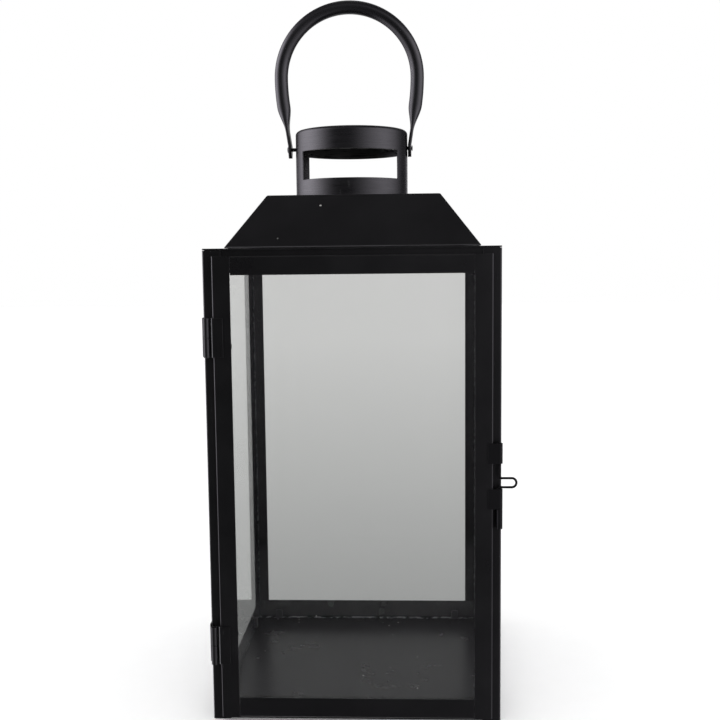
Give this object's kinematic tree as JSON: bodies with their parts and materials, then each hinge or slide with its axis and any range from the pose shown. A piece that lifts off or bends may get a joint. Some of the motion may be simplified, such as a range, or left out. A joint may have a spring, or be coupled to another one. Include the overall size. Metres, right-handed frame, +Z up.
{
  "type": "candle lantern",
  "caption": "Square black sheet-metal candle lantern with glass walls, a hinged glass door with a sliding bolt latch, a sloped hood, a vented crown and a swinging bail handle.",
  "frame": {"origin": "centre of the square base, on the underside of the base pan", "axes": "+Z up towards the handle, -Y out through the door, +X towards the latch side"},
  "size_m": [0.2113, 0.2081, 0.511],
  "materials": {
    "black_satin_paint": "satin black paint over folded steel sheet, fine even grain",
    "black_paint_inside": "duller black paint on the small inner tabs",
    "blackened_steel": "satin black hardware, slightly rubbed on the edges",
    "clear_glass": "clear float glass with a faint green edge"
  },
  "bodies": {
    "frame": {"base_pan": "black_satin_paint", "post_front_left": "black_satin_paint", "post_front_right": "black_satin_paint", "post_back_left": "black_satin_paint", "post_back_right": "black_satin_paint", "ledge_ring": "black_satin_paint", "hood": "black_satin_paint", "vent_crown": "black_satin_paint", "handle_rivet_left": "blackened_steel", "handle_rivet_right": "blackened_steel", "glass_back": "clear_glass", "glass_left": "clear_glass", "glass_right": "clear_glass", "pane_tab_back_low_a": "black_paint_inside", "pane_tab_back_low_b": "black_paint_inside", "pane_tab_back_high_a": "black_paint_inside", "pane_tab_back_high_b": "black_paint_inside", "pane_tab_left_low_a": "black_paint_inside", "pane_tab_left_low_b": "black_paint_inside", "pane_tab_left_high_a": "black_paint_inside", "pane_tab_left_high_b": "black_paint_inside", "pane_tab_right_low_a": "black_paint_inside", "pane_tab_right_low_b": "black_paint_inside", "pane_tab_right_high_a": "black_paint_inside", "pane_tab_right_high_b": "black_paint_inside", "hinge_frame_leaf_upper": "blackened_steel", "hinge_frame_leaf_lower": "blackened_steel", "hinge_pin_upper": "blackened_steel", "hinge_pin_lower": "blackened_steel", "latch_keeper": "blackened_steel"},
    "door": {"door_stile_left": "black_satin_paint", "door_stile_right": "black_satin_paint", "door_rail_bottom": "black_satin_paint", "door_rail_top": "black_satin_paint", "door_glass": "clear_glass", "door_tab_left_low": "black_paint_inside", "door_tab_left_high": "black_paint_inside", "door_tab_right_low": "black_paint_inside", "door_tab_right_high": "black_paint_inside", "hinge_door_leaf_upper": "blackened_steel", "hinge_door_leaf_lower": "blackened_steel", "latch_guide_upper": "blackened_steel", "latch_guide_lower": "blackened_steel"},
    "latch_bolt": {"latch_bolt": "blackened_steel"},
    "handle": {"handle_bail": "black_satin_paint"}
  },
  "joints": [
    {"name": "door_hinge", "type": "hinge", "parent": "frame", "child": "door", "pos_m": [-0.0971, -0.106, 0.1616], "axis": [0, 0, -1], "range_deg": [0, 175]},
    {"name": "latch_slide", "type": "slide", "parent": "door", "child": "latch_bolt", "axis": [0, 0, 1], "range_m": [0, 0.0087]},
    {"name": "handle_swing", "type": "hinge", "parent": "frame", "child": "handle", "pos_m": [-0.0038, 0, 0.402], "axis": [1, 0, 0], "range_deg": [-115, 115]}
  ]
}
